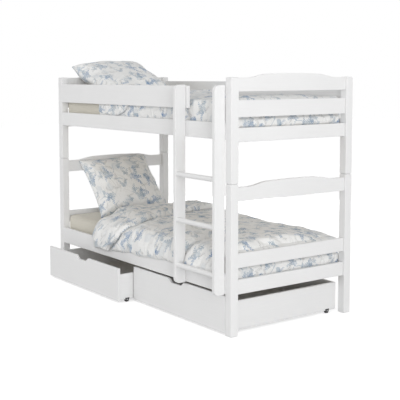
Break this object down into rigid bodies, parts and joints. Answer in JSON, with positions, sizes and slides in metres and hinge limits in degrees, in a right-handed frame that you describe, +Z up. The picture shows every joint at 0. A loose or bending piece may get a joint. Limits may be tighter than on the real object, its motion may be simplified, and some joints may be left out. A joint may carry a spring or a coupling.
{
  "type": "separable bunk bed",
  "caption": "Separable bunk bed: single beds stacked post on post, with arched end rails, guard rails, an upright ladder, bedding and drawers on castors.",
  "frame": {"origin": "the middle of the floor area that the whole object covers, with the left drawer standing 120 mm open, so the bed's own centre is at Y = +0.06 m", "axes": "+X along the bed towards its foot end, where the ladder is; the front, with the drawers, faces -Y; +Z up"},
  "size_m": [2.07, 1.095, 1.628],
  "materials": {
    "white_paint": "satin white paint on solid pine",
    "pine_slats": "planed bare pine",
    "mattress_ticking": "plain beige ticking",
    "printed_cotton": "off-white cotton with a blue and grey botanical print",
    "black_plastic": "matte black"
  },
  "bodies": {
    "lower_bed": {"lower_post_front_left": "white_paint", "lower_post_front_right": "white_paint", "lower_post_back_left": "white_paint", "lower_post_back_right": "white_paint", "lower_left_bottom_rail": "white_paint", "lower_left_mid_rail": "white_paint", "lower_left_arched_rail": "white_paint", "lower_right_bottom_rail": "white_paint", "lower_right_mid_rail": "white_paint", "lower_right_arched_rail": "white_paint", "lower_side_rail_front": "white_paint", "lower_side_rail_back": "white_paint", "lower_slat_base": "pine_slats", "lower_mattress": "mattress_ticking", "lower_pillow": "printed_cotton", "lower_duvet": "printed_cotton"},
    "upper_bed": {"upper_post_front_left": "white_paint", "upper_post_front_right": "white_paint", "upper_post_back_left": "white_paint", "upper_post_back_right": "white_paint", "upper_left_bottom_rail": "white_paint", "upper_left_mid_rail": "white_paint", "upper_left_arched_rail": "white_paint", "upper_right_bottom_rail": "white_paint", "upper_right_mid_rail": "white_paint", "upper_right_arched_rail": "white_paint", "upper_side_rail_front": "white_paint", "upper_side_rail_back": "white_paint", "upper_slat_base": "pine_slats", "upper_mattress": "mattress_ticking", "upper_pillow": "printed_cotton", "upper_duvet": "printed_cotton", "guard_rail_front": "white_paint", "guard_rail_back": "white_paint", "ladder_stile_left": "white_paint", "ladder_stile_right": "white_paint", "ladder_rung_1": "white_paint", "ladder_rung_2": "white_paint", "ladder_rung_3": "white_paint"},
    "drawer_left": {"drawer_left_front": "white_paint", "drawer_left_side_left": "white_paint", "drawer_left_side_right": "white_paint", "drawer_left_back": "white_paint", "drawer_left_bottom": "white_paint"},
    "drawer_right": {"drawer_right_front": "white_paint", "drawer_right_side_left": "white_paint", "drawer_right_side_right": "white_paint", "drawer_right_back": "white_paint", "drawer_right_bottom": "white_paint"},
    "drawer_left_wheel_front_left": {"drawer_left_wheel_front_left": "black_plastic"},
    "drawer_left_wheel_front_right": {"drawer_left_wheel_front_right": "black_plastic"},
    "drawer_left_wheel_back_left": {"drawer_left_wheel_back_left": "black_plastic"},
    "drawer_left_wheel_back_right": {"drawer_left_wheel_back_right": "black_plastic"},
    "drawer_right_wheel_front_left": {"drawer_right_wheel_front_left": "black_plastic"},
    "drawer_right_wheel_front_right": {"drawer_right_wheel_front_right": "black_plastic"},
    "drawer_right_wheel_back_left": {"drawer_right_wheel_back_left": "black_plastic"},
    "drawer_right_wheel_back_right": {"drawer_right_wheel_back_right": "black_plastic"}
  },
  "joints": [
    {"name": "upper_bed_lift", "type": "slide", "parent": "lower_bed", "child": "upper_bed", "axis": [0, 0, 1], "range_m": [0, 0.15]},
    {"name": "drawer_left_slide", "type": "slide", "parent": "lower_bed", "child": "drawer_left", "axis": [0, -1, 0], "range_m": [-0.12, 0.68]},
    {"name": "drawer_right_slide", "type": "slide", "parent": "lower_bed", "child": "drawer_right", "axis": [0, -1, 0], "range_m": [0, 0.8]},
    {"name": "drawer_left_wheel_front_left_roll", "type": "hinge", "parent": "drawer_left", "child": "drawer_left_wheel_front_left", "pos_m": [-0.961, -0.4725, 0.018], "axis": [1, 0, 0], "continuous": true},
    {"name": "drawer_left_wheel_front_right_roll", "type": "hinge", "parent": "drawer_left", "child": "drawer_left_wheel_front_right", "pos_m": [-0.0185, -0.4725, 0.018], "axis": [1, 0, 0], "continuous": true},
    {"name": "drawer_left_wheel_back_left_roll", "type": "hinge", "parent": "drawer_left", "child": "drawer_left_wheel_back_left", "pos_m": [-0.961, 0.29, 0.018], "axis": [1, 0, 0], "continuous": true},
    {"name": "drawer_left_wheel_back_right_roll", "type": "hinge", "parent": "drawer_left", "child": "drawer_left_wheel_back_right", "pos_m": [-0.0185, 0.29, 0.018], "axis": [1, 0, 0], "continuous": true},
    {"name": "drawer_right_wheel_front_left_roll", "type": "hinge", "parent": "drawer_right", "child": "drawer_right_wheel_front_left", "pos_m": [0.0185, -0.3525, 0.018], "axis": [1, 0, 0], "continuous": true},
    {"name": "drawer_right_wheel_front_right_roll", "type": "hinge", "parent": "drawer_right", "child": "drawer_right_wheel_front_right", "pos_m": [0.961, -0.3525, 0.018], "axis": [1, 0, 0], "continuous": true},
    {"name": "drawer_right_wheel_back_left_roll", "type": "hinge", "parent": "drawer_right", "child": "drawer_right_wheel_back_left", "pos_m": [0.0185, 0.41, 0.018], "axis": [1, 0, 0], "continuous": true},
    {"name": "drawer_right_wheel_back_right_roll", "type": "hinge", "parent": "drawer_right", "child": "drawer_right_wheel_back_right", "pos_m": [0.961, 0.41, 0.018], "axis": [1, 0, 0], "continuous": true}
  ],
  "couplings": [
    {"joint": "drawer_left_wheel_front_left_roll", "follows": "drawer_left_slide", "rad_per_m": 55.556},
    {"joint": "drawer_left_wheel_front_right_roll", "follows": "drawer_left_slide", "rad_per_m": 55.556},
    {"joint": "drawer_left_wheel_back_left_roll", "follows": "drawer_left_slide", "rad_per_m": 55.556},
    {"joint": "drawer_left_wheel_back_right_roll", "follows": "drawer_left_slide", "rad_per_m": 55.556},
    {"joint": "drawer_right_wheel_front_left_roll", "follows": "drawer_right_slide", "rad_per_m": 55.556},
    {"joint": "drawer_right_wheel_front_right_roll", "follows": "drawer_right_slide", "rad_per_m": 55.556},
    {"joint": "drawer_right_wheel_back_left_roll", "follows": "drawer_right_slide", "rad_per_m": 55.556},
    {"joint": "drawer_right_wheel_back_right_roll", "follows": "drawer_right_slide", "rad_per_m": 55.556}
  ]
}
